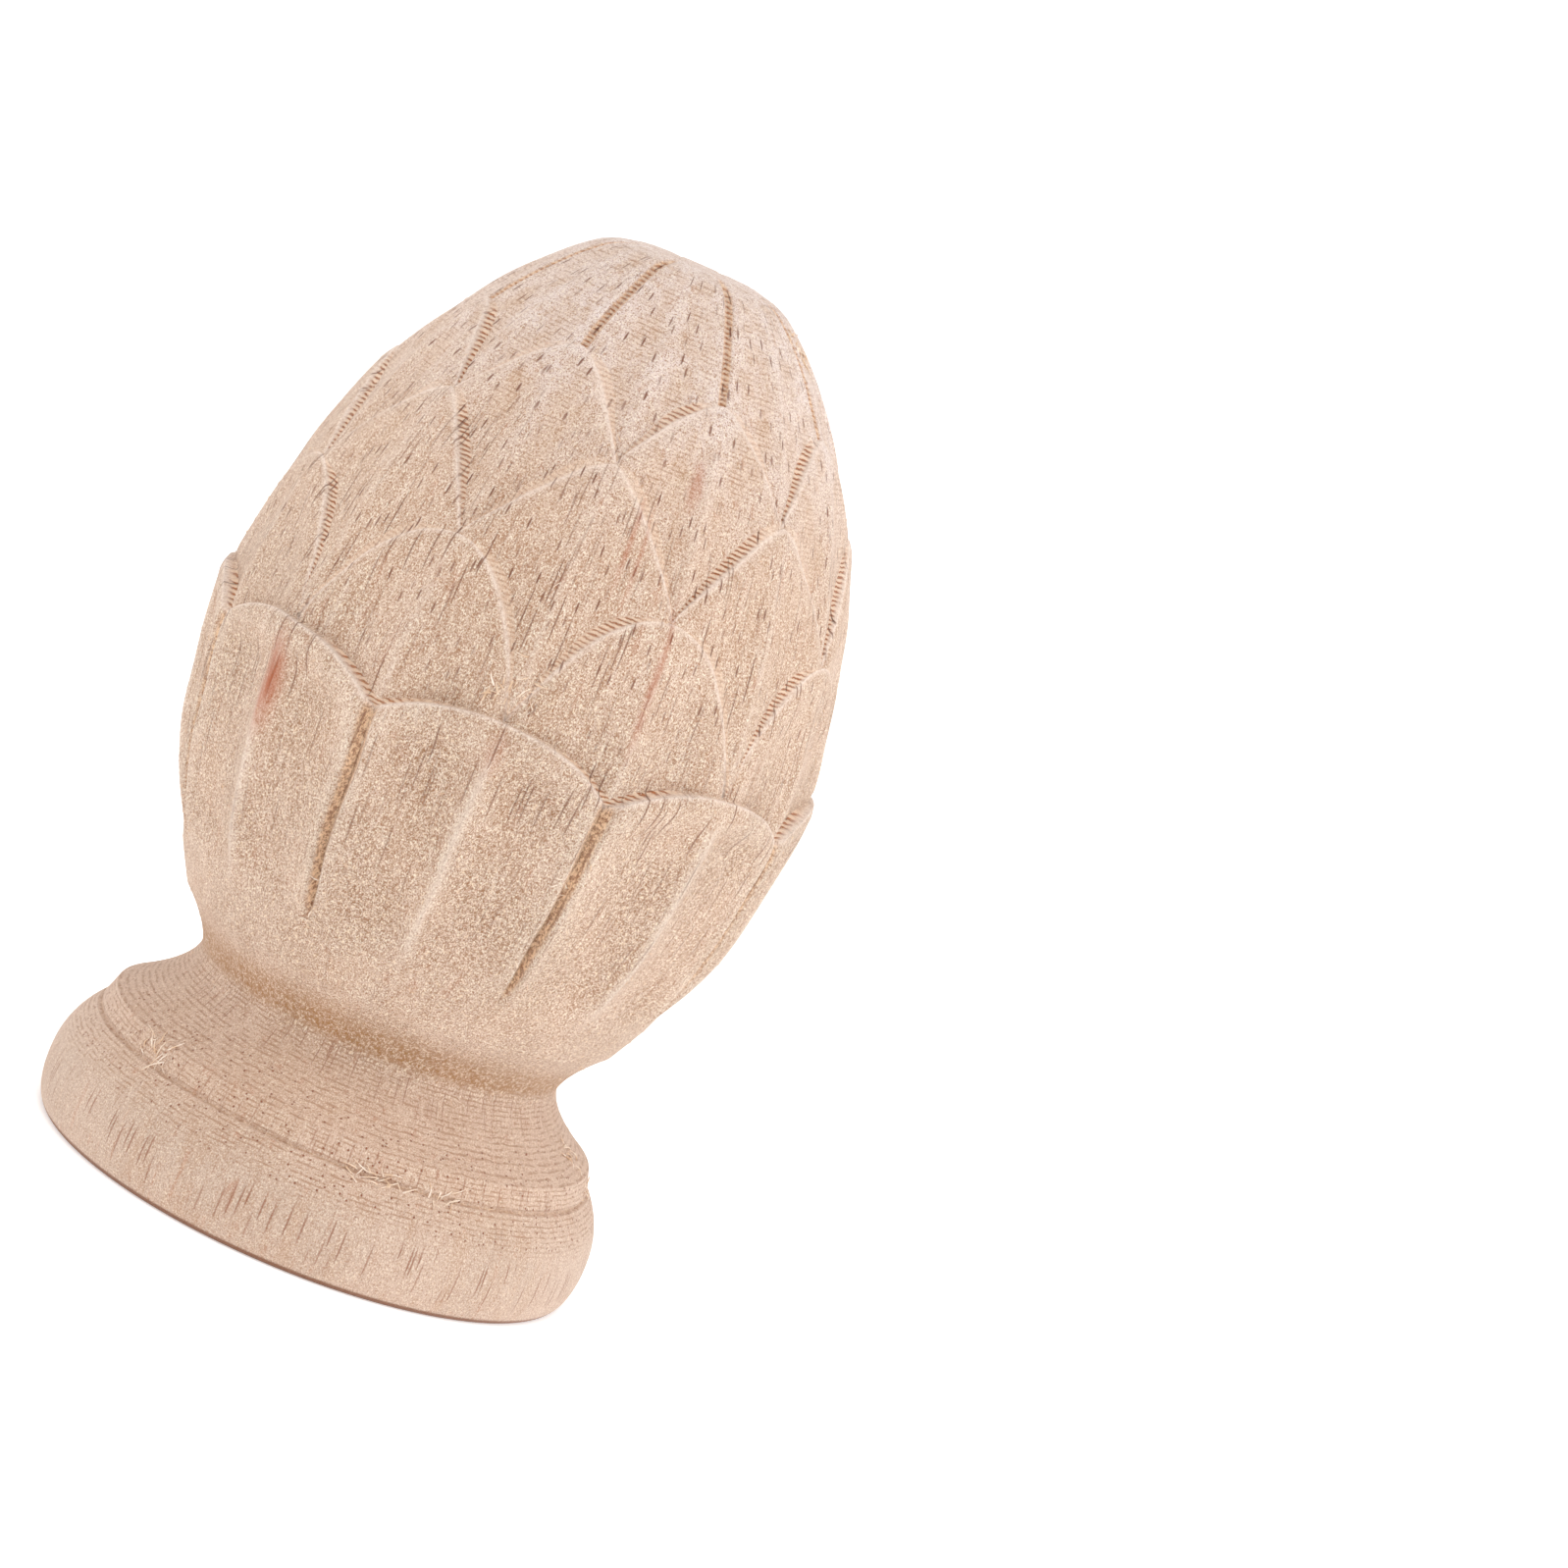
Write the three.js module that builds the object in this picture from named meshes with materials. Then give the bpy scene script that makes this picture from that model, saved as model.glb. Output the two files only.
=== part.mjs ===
// Carved wooden pineapple post finial, turned and carved from one block.
// Millimetres, +Z up, origin at the centre of the flat underside.
import * as THREE from 'three';

// Overall sizes
const height = 105;
const bodyDiameter = 65.7;
const tipDiameter = 12.4;

// Turned foot, from the underside up: a full roll, a creased narrow band and a cove
const footEdgeDiameter = 57.2;
const rollDiameter = 60.2;
const rollMiddleHeight = 4.3;
const creaseDiameter = 54.5;
const creaseHeight = 11.7;
const creaseDepth = 0.25;
const creaseHalfWidth = 0.3;
const bandTopDiameter = 52.8;
const bandHeight = 2.4;
const neckDiameter = 39.9;
const neckHeight = 21.1;
const shoulderDiameter = 47.9;
const shoulderHeight = 27;
const rollFullness = 2.4;
const lowerCoveSweep = 1.75;
const upperCoveSweep = 1.5;

// Egg outline above the shoulder, as shares of the egg's height and of its largest radius
const eggOutline = [
  [0.000, shoulderDiameter / bodyDiameter], [0.051, 0.794], [0.115, 0.879], [0.192, 0.939],
  [0.269, 0.971], [0.346, 0.995], [0.420, 1.000], [0.500, 0.963], [0.603, 0.905],
  [0.679, 0.843], [0.750, 0.773], [0.808, 0.697], [0.859, 0.617], [0.910, 0.517],
  [0.950, 0.419], [0.975, 0.345], [0.990, 0.284], [1.000, tipDiameter / bodyDiameter],
];
const crownEdge = 0.990;

// Scales: eight to a ring, each ring turned by half a scale from the one below.
// Apex and side curve of each ring's arches, and depth of its foot and of its hollows; the
// crown has no arches.
const scalesPerRing = 8;
const junctionGap = 0.25;
const lowestJunction = 0.358;
const rings = [
  { apex: 0.413, swell: 2.4, ease: 1.00, foot: 0.0, hollow: 1.50 },
  { apex: 0.600, swell: 1.95, ease: 0.80, foot: 1.1, hollow: 0.85 },
  { apex: 0.753, swell: 1.3, ease: 0.90, foot: 0.7, hollow: 0.70 },
  { apex: 0.865, swell: 1.55, ease: 0.90, foot: 0.8, hollow: 0.65 },
  { apex: 1.000, swell: 0, ease: 0, foot: 0.9, hollow: 0.45 },
];
const crown = rings.length - 1;

// Depth of the carving
const lipDrop = 0.3;
const lipReach = 1.8;
const hollowFadeStart = 0.35;
const hollowMargin = 5;
const hollowLean = 0.74;
const marginShare = 0.9;
const ribCrest = 0.045;
const wallLeast = 0.25;
const wallMost = 1.3;
const wallTaper = 0.35;
const wallSteep = 0.45;
const grooveDepth = 1.3;
const grooveHalfWidth = 1.1;
const grooveFootShare = 0.5;
const crownGrooveDepth = 0.5;
const crownGrooveHalfWidth = 0.65;
const plainShoulder = 2.2;
const fluteStart = 3.6;
const fluteRise = 5.5;
const fluteFade = 0.34;

// Fineness of the facets: columns across half a scale, the same from either side, and rows
const columnSteps = [0, 0.07, 0.2, 0.4, 0.6, 0.8, 0.93];
const rollEdgeSteps = [0, 0.15, 0.45, 1];
const rollTopSteps = [0.4, 0.75];
const coveSteps = 4;
const faceSteps = [4, 3, 3, 2, 4];

const eggHeight = height - shoulderHeight;
const halfScale = Math.PI / scalesPerRing;
const bodyRadius = bodyDiameter / 2;
const bandTop = creaseHeight + bandHeight;

const clamp01 = (value) => Math.min(1, Math.max(0, value));
const mix = (from, to, share) => from + (to - from) * share;
const smoothStep = (share) => {
  const t = clamp01(share);
  return t * t * (3 - 2 * t);
};

// Radius of the roll at a height: an elliptic lower edge and a full upper curve
function rollRadius(z) {
  const middle = rollDiameter / 2;
  if (z < rollMiddleHeight) {
    const down = 1 - z / rollMiddleHeight;
    return mix(footEdgeDiameter / 2, middle, Math.sqrt(Math.max(0, 1 - down * down)));
  }
  const up = (z - rollMiddleHeight) / (creaseHeight - rollMiddleHeight);
  return mix(middle, creaseDiameter / 2, up ** rollFullness);
}

// Radius of the cove, which sweeps from the band in to the neck and out to the shoulder
function coveRadius(z) {
  const below = z < neckHeight;
  const edgeHeight = below ? bandTop : shoulderHeight;
  const edgeRadius = (below ? bandTopDiameter : shoulderDiameter) / 2;
  const sweep = below ? lowerCoveSweep : upperCoveSweep;
  return mix(neckDiameter / 2, edgeRadius, ((z - neckHeight) / (edgeHeight - neckHeight)) ** sweep);
}

// Slope of the egg outline at one of its points, from its two neighbours
function outlineSlope(index) {
  const before = eggOutline[Math.max(0, index - 1)];
  const after = eggOutline[Math.min(eggOutline.length - 1, index + 1)];
  return (after[1] - before[1]) / (after[0] - before[0]);
}

// Radius of the egg: a smooth cubic through the points of its outline
function eggRadius(z) {
  const share = clamp01((z - shoulderHeight) / eggHeight);
  const next = Math.max(1, eggOutline.findIndex((point) => point[0] >= share));
  const [low, high] = [eggOutline[next - 1], eggOutline[next]];
  const span = high[0] - low[0];
  const t = (share - low[0]) / span;
  const lowPull = outlineSlope(next - 1) * span;
  const highPull = outlineSlope(next) * span;
  const radius = low[1] * (1 + 2 * t) * (1 - t) ** 2 + lowPull * t * (1 - t) ** 2
    + high[1] * t * t * (3 - 2 * t) - highPull * t * t * (1 - t);
  return radius * bodyRadius;
}

function outlineRadius(z) {
  if (z <= creaseHeight) return rollRadius(z);
  if (z <= bandTop) {
    return mix(creaseDiameter, bandTopDiameter, (z - creaseHeight) / bandHeight) / 2;
  }
  return z < shoulderHeight ? coveRadius(z) : eggRadius(z);
}

const eggLevel = (share) => shoulderHeight + share * eggHeight;
const apexLevel = (ring) => eggLevel(rings[ring].apex);
const junctionLevel = (ring) => (
  ring === 0 ? eggLevel(lowestJunction) : apexLevel(ring - 1) + junctionGap
);

// Distance from a ring's own scale centre, 0 at the centre line and 1 where two scales meet.
// The share runs from 0 on the centre line of the lowest ring to 1 between two of its scales.
const offCentre = (ring, share) => (ring % 2 === 0 ? share : 1 - share);

// Height of a ring's arch
function archLevel(ring, share) {
  const { swell, ease } = rings[ring];
  const bow = (1 - offCentre(ring, share) ** swell) ** ease;
  return mix(junctionLevel(ring), apexLevel(ring), bow);
}

// How much longer the arch's height runs than its width measured square to the arch
function archLean(ring, share) {
  const step = 0.01;
  const [left, right] = [Math.max(0, share - step), Math.min(1, share + step)];
  const run = (right - left) * halfScale * outlineRadius(archLevel(ring, share));
  return Math.hypot(1, (archLevel(ring, right) - archLevel(ring, left)) / run);
}

// Hollow on either side of a scale's midrib: none on the crest, none at the raised margin
function hollowShape(off) {
  const fromRib = Math.hypot(off, ribCrest) - ribCrest;
  return Math.sin(Math.PI * clamp01(fromRib / marginShare) ** hollowLean);
}

// V-shaped groove between two scales of one ring
function grooveShape(share, z, halfWidth) {
  const distance = (1 - share) * halfScale * outlineRadius(z);
  return clamp01(1 - distance / halfWidth);
}

// Distance down from a ring's arch, measured square to the arch
const fromArch = (ring, share, z) => (archLevel(ring, share) - z) / archLean(ring, share);

// Hollows die out towards the raised margin along the arch
const marginFade = (ring, share, z) => (
  ring === crown ? 1 : smoothStep(fromArch(ring, share, z) / hollowMargin)
);

// Depth below the outline on the lowest ring, whose flutes start above the shoulder
function lowestDepth(share, z) {
  const start = shoulderHeight + fluteStart;
  const rise = smoothStep((z - start) / fluteRise);
  const fade = smoothStep((apexLevel(0) - z) / (apexLevel(0) - eggLevel(fluteFade)));
  const climb = clamp01((z - start) / (junctionLevel(0) - start));
  const halfWidth = grooveHalfWidth * mix(grooveFootShare, 1, climb);
  const flute = rings[0].hollow * hollowShape(share) * fade * marginFade(0, share, z);
  return (flute + grooveDepth * grooveShape(share, z, halfWidth)) * rise;
}

// Depth below the outline on a higher ring: deep where it comes out from behind the ring
// below, and rising to the outline at its own apex
function upperDepth(ring, share, z) {
  const root = ring === 1 ? junctionLevel(0) : apexLevel(ring - 2);
  const climb = clamp01((z - root) / (apexLevel(ring) - root));
  const fade = Math.cos((Math.PI / 2) * clamp01((climb - hollowFadeStart) / (1 - hollowFadeStart)));
  const shape = hollowShape(offCentre(ring, share)) * marginFade(ring, share, z);
  const groove = ring === crown ? crownGrooveDepth * grooveShape(share, z, crownGrooveHalfWidth) : 0;
  return rings[ring].foot * (1 - climb) + rings[ring].hollow * shape * fade + groove;
}

// Depth of a scale's face, with the rounded lip along its arch
function scaleDepth(ring, share, z) {
  const face = ring === 0 ? lowestDepth(share, z) : upperDepth(ring, share, z);
  if (ring === crown) return face;
  return face + lipDrop * clamp01(1 - fromArch(ring, share, z) / lipReach) ** 2;
}

// Height above an arch where the wall under its lip ends: wider where the arch is steep, and
// on the upper rings narrow again where two scales meet
function wallFoot(ring, share) {
  const lip = archLevel(ring, share);
  const lean = archLean(ring, share);
  const taper = ring === 0 ? 1 : smoothStep((1 - offCentre(ring, share)) / wallTaper);
  const width = mix(wallLeast, wallMost, smoothStep((lean - 1) / wallSteep) * taper);
  const room = (ring + 1 < crown ? archLevel(ring + 1, share) : height) - lip;
  return lip + Math.min(width * lean, room / 2);
}

// Rows of the turned foot, with the crease cut in above the roll
function turnedRows() {
  const plain = (z) => ({ z, depth: 0 });
  const rows = rollEdgeSteps.map((share) => plain(share * rollMiddleHeight));
  rows.push(...rollTopSteps.map((share) => plain(mix(rollMiddleHeight, creaseHeight, share))));
  rows.push(plain(creaseHeight - creaseHalfWidth));
  rows.push({ z: creaseHeight, depth: creaseDepth });
  rows.push(plain(creaseHeight + creaseHalfWidth));
  for (let i = 0; i < coveSteps; i += 1) rows.push(plain(mix(bandTop, neckHeight, i / coveSteps)));
  for (let i = 0; i <= coveSteps; i += 1) {
    rows.push(plain(mix(neckHeight, shoulderHeight, i / coveSteps)));
  }
  return rows;
}

// One column of the surface, from the underside's edge up to the tip's rim
function columnPoints(share) {
  const points = turnedRows();
  let start = shoulderHeight + plainShoulder;
  faceSteps.forEach((steps, ring) => {
    const end = ring === crown ? eggLevel(crownEdge) : archLevel(ring, share);
    const lipStart = ring === crown
      ? end
      : Math.max(mix(start, end, 1 / 2), end - lipReach * archLean(ring, share));
    const levels = [];
    for (let i = 0; i <= steps; i += 1) levels.push(mix(start, lipStart, i / steps));
    if (ring < crown) levels.push(end);
    levels.forEach((z) => points.push({ z, depth: scaleDepth(ring, share, z) }));
    if (ring < crown) start = wallFoot(ring, share);
  });
  points.push({ z: height, depth: 0 });
  return points;
}

// Place of a surface point, set in from the outline along its normal
function surfacePoint({ z, depth }, angle) {
  const step = 0.05;
  const [low, high] = [Math.max(0, z - step), Math.min(height, z + step)];
  const normal = new THREE.Vector2(high - low, outlineRadius(low) - outlineRadius(high)).normalize();
  const radius = outlineRadius(z) - depth * normal.x;
  return [radius * Math.sin(angle), -radius * Math.cos(angle), z - depth * normal.y];
}

// Angle and pattern share of every column: each half scale mirrors the one before it
function columnPlaces() {
  const places = [];
  for (let half = 0; half < 2 * scalesPerRing; half += 1) {
    columnSteps.forEach((step) => {
      places.push({ angle: (half + step) * halfScale, share: half % 2 === 0 ? step : 1 - step });
    });
  }
  return places;
}

// Closed surface: a grid of columns, the flat underside and the flat tip
function finialGeometry() {
  const places = columnPlaces();
  const columns = places.map(({ share }) => columnPoints(share));
  const rows = columns[0].length;
  const positions = [];
  columns.forEach((points, column) => {
    points.forEach((point) => positions.push(...surfacePoint(point, places[column].angle)));
  });
  const count = columns.length;
  const at = (column, row) => (column % count) * rows + row;
  const faces = [];
  for (let column = 0; column < count; column += 1) {
    for (let row = 0; row < rows - 1; row += 1) {
      faces.push(at(column, row), at(column + 1, row), at(column + 1, row + 1));
      faces.push(at(column, row), at(column + 1, row + 1), at(column, row + 1));
    }
  }
  const tip = positions.length / 3;
  positions.push(0, 0, height);
  for (let column = 0; column < count; column += 1) {
    faces.push(at(column, rows - 1), at(column + 1, rows - 1), tip);
  }
  addUnderside(positions, faces, columns.map((points, column) => at(column, 0)));
  const geometry = new THREE.BufferGeometry();
  geometry.setAttribute('position', new THREE.Float32BufferAttribute(positions, 3));
  geometry.setIndex(faces);
  geometry.computeVertexNormals();
  return geometry;
}

// Flat underside: a triangle round the centre, and a ring of facets out to the edge
function addUnderside(positions, faces, edge) {
  const centreReach = footEdgeDiameter / 5;
  const centreTurn = 0.3;
  const corners = 3;
  const first = positions.length / 3;
  const inner = [];
  for (let corner = 0; corner < corners; corner += 1) {
    const turn = (corner * 2 * Math.PI) / corners + centreTurn;
    positions.push(centreReach * Math.sin(turn), -centreReach * Math.cos(turn), 0);
    inner.push(first + corner);
  }
  const flat = (index) => new THREE.Vector2(positions[index * 3], positions[index * 3 + 1]);
  const order = [...edge, ...inner];
  const cut = THREE.ShapeUtils.triangulateShape(edge.map(flat), [inner.map(flat)]);
  cut.forEach(([a, b, c]) => faces.push(order[a], order[c], order[b]));
  faces.push(inner[0], inner[2], inner[1]);
}

const wood = new THREE.MeshStandardMaterial({ color: 0xdec4aa, roughness: 0.82, metalness: 0 });
const finial = new THREE.Mesh(finialGeometry(), wood);
finial.name = 'carved_finial';

const group = new THREE.Group();
group.add(finial);

export default group;
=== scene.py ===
import math

import bpy
import numpy as np
from mathutils import Matrix, Vector


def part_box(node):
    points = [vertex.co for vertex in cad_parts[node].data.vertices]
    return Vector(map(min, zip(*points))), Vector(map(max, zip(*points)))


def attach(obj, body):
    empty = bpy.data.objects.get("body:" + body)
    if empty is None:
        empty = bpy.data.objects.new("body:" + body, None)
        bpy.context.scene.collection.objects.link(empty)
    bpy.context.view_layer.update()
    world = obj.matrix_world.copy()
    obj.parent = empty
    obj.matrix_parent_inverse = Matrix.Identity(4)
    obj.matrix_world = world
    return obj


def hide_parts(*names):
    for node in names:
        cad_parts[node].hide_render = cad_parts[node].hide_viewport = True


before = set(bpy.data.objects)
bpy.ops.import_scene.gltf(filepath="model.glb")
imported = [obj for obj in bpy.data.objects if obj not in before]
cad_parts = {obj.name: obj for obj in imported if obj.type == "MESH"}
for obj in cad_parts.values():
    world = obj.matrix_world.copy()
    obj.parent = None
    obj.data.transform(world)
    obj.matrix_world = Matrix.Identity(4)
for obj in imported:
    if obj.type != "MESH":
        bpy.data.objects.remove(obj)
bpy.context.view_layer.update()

# Sizes below are in millimetres, as the wood was turned; MM turns them into metres
MM = 0.001
NODE = "carved_finial"
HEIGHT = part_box(NODE)[1][2] / MM
BODY_RADIUS = 32.85

# Turned foot: a full roll, a creased narrow band and a cove
FOOT_EDGE_RADIUS = 28.6
ROLL_RADIUS = 30.1
ROLL_MIDDLE = 4.3
CREASE_RADIUS = 27.25
CREASE_HEIGHT = 11.7
CREASE_DEPTH = 0.25
CREASE_HALF_WIDTH = 0.3
BAND_TOP_RADIUS = 26.4
BAND_TOP = 14.1
NECK_RADIUS = 19.95
NECK_HEIGHT = 21.1
SHOULDER_RADIUS = 23.95
SHOULDER_HEIGHT = 27.0
ROLL_FULLNESS = 2.4
LOWER_COVE_SWEEP = 1.75
UPPER_COVE_SWEEP = 1.5
TIP_RADIUS = 6.2

# Egg outline above the shoulder, as shares of the egg's height and of its largest radius
EGG_OUTLINE = np.array([
    (0.000, SHOULDER_RADIUS / BODY_RADIUS), (0.051, 0.794), (0.115, 0.879), (0.192, 0.939),
    (0.269, 0.971), (0.346, 0.995), (0.420, 1.000), (0.500, 0.963), (0.603, 0.905),
    (0.679, 0.843), (0.750, 0.773), (0.808, 0.697), (0.859, 0.617), (0.910, 0.517),
    (0.950, 0.419), (0.975, 0.345), (0.990, 0.284), (1.000, TIP_RADIUS / BODY_RADIUS),
])
CROWN_EDGE = 0.990

# Scales: eight to a ring, each ring turned by half a scale from the one below.
# The RING values run from the lowest ring up, and the last is for the top.
SCALES_PER_RING = 8
JUNCTION_GAP = 0.25
LOWEST_JUNCTION = 0.358
RING_APEX = (0.413, 0.600, 0.753, 0.865, 1.000)
RING_SWELL = (2.4, 1.95, 1.3, 1.55)
RING_EASE = (1.0, 0.8, 0.9, 0.9)
RING_FOOT = (0.0, 1.1, 0.7, 0.8, 0.9)
RING_HOLLOW = (1.5, 0.85, 0.7, 0.65, 0.45)
CROWN = len(RING_APEX) - 1

# Depth of the carving
LIP_DROP = 0.3
LIP_REACH = 1.8
# Width of the painted highlight along each lip
LIP_HIGHLIGHT_LINE = 0.38
HOLLOW_FADE_START = 0.35
HOLLOW_MARGIN = 5.0
HOLLOW_LEAN = 0.74
MARGIN_SHARE = 0.9
RIB_CREST = 0.045
WALL_LEAST = 0.25
WALL_MOST = 1.3
WALL_TAPER = 0.35
WALL_STEEP = 0.45
GROOVE_DEPTH = 1.3
GROOVE_HALF_WIDTH = 1.1
GROOVE_FOOT_SHARE = 0.5
CROWN_GROOVE_DEPTH = 0.5
CROWN_GROOVE_HALF_WIDTH = 0.65
FLUTE_START = 3.6
FLUTE_RISE = 5.5
FLUTE_FADE = 0.34

# Tool rings left by the cutter, one every pitch along the axis, and how they fade in
TOOL_PITCH = 0.45
TOOL_DEPTH = 0.03
ROLL_RINGS_FADE = 3.0
COVE_RINGS_FADE = 0.6

# Marks for the material: how strongly ribs, hollows, walls and the crease carry them. Midrib crests and lips
# also carry painted highlights, and hollows and toothed walls painted shade.
RIB_HIGHLIGHT_SHARE = 0.035
UPPER_RIB_HIGHLIGHT_MARK = 0.45
UPPER_HOLLOW_MARK = 0.5
LEAST_WALL_MARK = 0.15
LEAST_TEETH = 0.45
JUNCTION_TEETH = 0.9
TORN_WALL_MARK = 0.45
WALL_LIP_HIGHLIGHT_RUN = 3.0
CREASE_MARK = 0.25
CREASE_CURVE = 0.8
TIP_GROOVE_LOSS = 0.7

# Where the walls are toothed and browned, each as a start and a width: by the sine of the angle for
# walls that face left or right, which is painted shade on walls turned away from the softbox on their side,
# and by the share of the half scale along the arch
LEFTWARD_WALL_SHADE = (-0.12, 0.4)
RIGHTWARD_WALL_SHADE = (0.15, 0.45)
LOWEST_WALL_CUT = (0.3, 0.3)
UPPER_WALL_CUT = (0.1, 0.3)
JUNCTION_CUT = (0.55, 0.35)

# Unevenness of the carved surface: in height, in depth and in turn
WAVE_RISE = 0.09
WAVE_DEPTH_BASE = 0.05
WAVE_DEPTH = 0.04
WAVE_TURN = 0.003
WAVE_FADE = 6.0
WAVE_TURNS = (2, 26)
WAVE_CLIMB = 0.9

# How many waves make up each unevenness, and its seed
RISE_WAVES = (9, 3)
DEPTH_WAVES = (12, 5)
TURN_WAVES = (6, 8)

# Fineness of the mesh
COLUMNS_PER_HALF = 32
ROWS_PER_PITCH = 4
FACE_ROWS = (72, 44, 44, 38, 42)
LIP_ROWS = 6
WALL_ROWS = 6
CREASE_ROWS = 9
EDGE_LEVELS = (0.0, 0.02, 0.06)
TIP_STEPS = (0.3, 0.6, 0.85, 1.0)
COLUMN_CROWDING = 0.4

EGG_HEIGHT = HEIGHT - SHOULDER_HEIGHT
HALF_SCALE = math.pi / SCALES_PER_RING


def mix(start, end, share):
    return start + (end - start) * share


def smooth_step(share):
    t = np.clip(share, 0, 1)
    return t * t * (3 - 2 * t)


def rise_from(value, start, width):
    """0 up to the start, 1 a width beyond it, smooth between."""
    return smooth_step((value - start) / width)


def roll_radius(z):
    """The foot's roll: an elliptic lower edge and a full upper curve."""
    down = np.clip(1 - z / ROLL_MIDDLE, 0, 1)
    lower = mix(FOOT_EDGE_RADIUS, ROLL_RADIUS, np.sqrt(1 - down * down))
    up = np.clip((z - ROLL_MIDDLE) / (CREASE_HEIGHT - ROLL_MIDDLE), 0, 1)
    upper = mix(ROLL_RADIUS, CREASE_RADIUS, up ** ROLL_FULLNESS)
    return np.where(z < ROLL_MIDDLE, lower, upper)


def cove_radius(z):
    """The cove sweeps from the band in to the neck and out to the shoulder."""
    below = np.clip((NECK_HEIGHT - z) / (NECK_HEIGHT - BAND_TOP), 0, 1) ** LOWER_COVE_SWEEP
    above = np.clip((z - NECK_HEIGHT) / (SHOULDER_HEIGHT - NECK_HEIGHT), 0, 1) ** UPPER_COVE_SWEEP
    lower = mix(NECK_RADIUS, BAND_TOP_RADIUS, below)
    return np.where(z < NECK_HEIGHT, lower, mix(NECK_RADIUS, SHOULDER_RADIUS, above))


def egg_radius(z):
    """The egg: a smooth cubic through the points of its outline."""
    share = np.clip((z - SHOULDER_HEIGHT) / EGG_HEIGHT, 0, 1)
    at, size = EGG_OUTLINE[:, 0], EGG_OUTLINE[:, 1]
    before = np.maximum(np.arange(len(at)) - 1, 0)
    after = np.minimum(np.arange(len(at)) + 1, len(at) - 1)
    slope = (size[after] - size[before]) / (at[after] - at[before])
    low = np.clip(np.searchsorted(at, share) - 1, 0, len(at) - 2)
    span = at[low + 1] - at[low]
    t = (share - at[low]) / span
    rest = 1 - t
    radius = size[low] * (1 + 2 * t) * rest**2 + slope[low] * span * t * rest**2
    radius += size[low + 1] * t * t * (3 - 2 * t) - slope[low + 1] * span * t * t * rest
    return radius * BODY_RADIUS


def outline_radius(z):
    z = np.asarray(z, float)
    band = mix(CREASE_RADIUS, BAND_TOP_RADIUS, (z - CREASE_HEIGHT) / (BAND_TOP - CREASE_HEIGHT))
    turned = np.where(z <= CREASE_HEIGHT, roll_radius(z), np.where(z <= BAND_TOP, band, cove_radius(z)))
    return np.where(z < SHOULDER_HEIGHT, turned, egg_radius(z))


def egg_level(share):
    return SHOULDER_HEIGHT + share * EGG_HEIGHT


def off_centre(ring, share):
    """0 on the centre line of the ring's own scale, 1 where two of its scales meet."""
    return share if ring % 2 == 0 else 1 - share


def junction_level(ring):
    return egg_level(LOWEST_JUNCTION) if ring == 0 else egg_level(RING_APEX[ring - 1]) + JUNCTION_GAP


def arch_level(ring, share):
    bow = (1 - off_centre(ring, share) ** RING_SWELL[ring]) ** RING_EASE[ring]
    return mix(junction_level(ring), egg_level(RING_APEX[ring]), bow)


def arch_lean(ring, share):
    """How much longer the arch's height runs than its width measured square to the arch."""
    step = 0.01
    left, right = np.maximum(share - step, 0), np.minimum(share + step, 1)
    run = (right - left) * HALF_SCALE * outline_radius(arch_level(ring, share))
    return np.hypot(1, (arch_level(ring, right) - arch_level(ring, left)) / run)


def hollow_shape(off):
    """None on the midrib's crest and none at the raised margin."""
    from_rib = np.hypot(off, RIB_CREST) - RIB_CREST
    return np.sin(math.pi * np.clip(from_rib / MARGIN_SHARE, 0, 1) ** HOLLOW_LEAN)


def groove_shape(share, z, half_width):
    distance = (1 - share) * HALF_SCALE * outline_radius(z)
    return np.clip(1 - distance / half_width, 0, 1)


def flute_rise(z):
    return smooth_step((z - SHOULDER_HEIGHT - FLUTE_START) / FLUTE_RISE)


def lowest_groove(share, z):
    start = SHOULDER_HEIGHT + FLUTE_START
    climb = np.clip((z - start) / (junction_level(0) - start), 0, 1)
    return groove_shape(share, z, GROOVE_HALF_WIDTH * mix(GROOVE_FOOT_SHARE, 1, climb)) * flute_rise(z)


def from_arch(ring, share, z):
    """Distance down from a ring's arch, measured square to the arch."""
    return (arch_level(ring, share) - z) / arch_lean(ring, share)


def margin_fade(ring, share, z):
    """Hollows die out towards the raised margin along the arch."""
    return 1.0 if ring == CROWN else smooth_step(from_arch(ring, share, z) / HOLLOW_MARGIN)


def lowest_hollow(share, z):
    top = egg_level(RING_APEX[0])
    fade = smooth_step((top - z) / (top - egg_level(FLUTE_FADE)))
    return hollow_shape(share) * flute_rise(z) * fade * margin_fade(0, share, z)


def upper_depth(ring, share, z):
    """Deep where a scale comes out from behind the ring below, and none at its own apex."""
    root = junction_level(0) if ring == 1 else egg_level(RING_APEX[ring - 2])
    climb = np.clip((z - root) / (egg_level(RING_APEX[ring]) - root), 0, 1)
    fade = np.cos(math.pi / 2 * np.clip((climb - HOLLOW_FADE_START) / (1 - HOLLOW_FADE_START), 0, 1))
    shape = hollow_shape(off_centre(ring, share)) * margin_fade(ring, share, z)
    depth = RING_FOOT[ring] * (1 - climb) + RING_HOLLOW[ring] * shape * fade
    if ring == CROWN:
        depth = depth + CROWN_GROOVE_DEPTH * groove_shape(share, z, CROWN_GROOVE_HALF_WIDTH)
    return depth


def scale_depth(ring, share, z):
    """Depth of a scale's face, with the rounded lip along its arch."""
    if ring == 0:
        face = RING_HOLLOW[0] * lowest_hollow(share, z) + GROOVE_DEPTH * lowest_groove(share, z)
    else:
        face = upper_depth(ring, share, z)
    if ring == CROWN:
        return face
    return face + LIP_DROP * np.clip(1 - from_arch(ring, share, z) / LIP_REACH, 0, 1) ** 2


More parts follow.
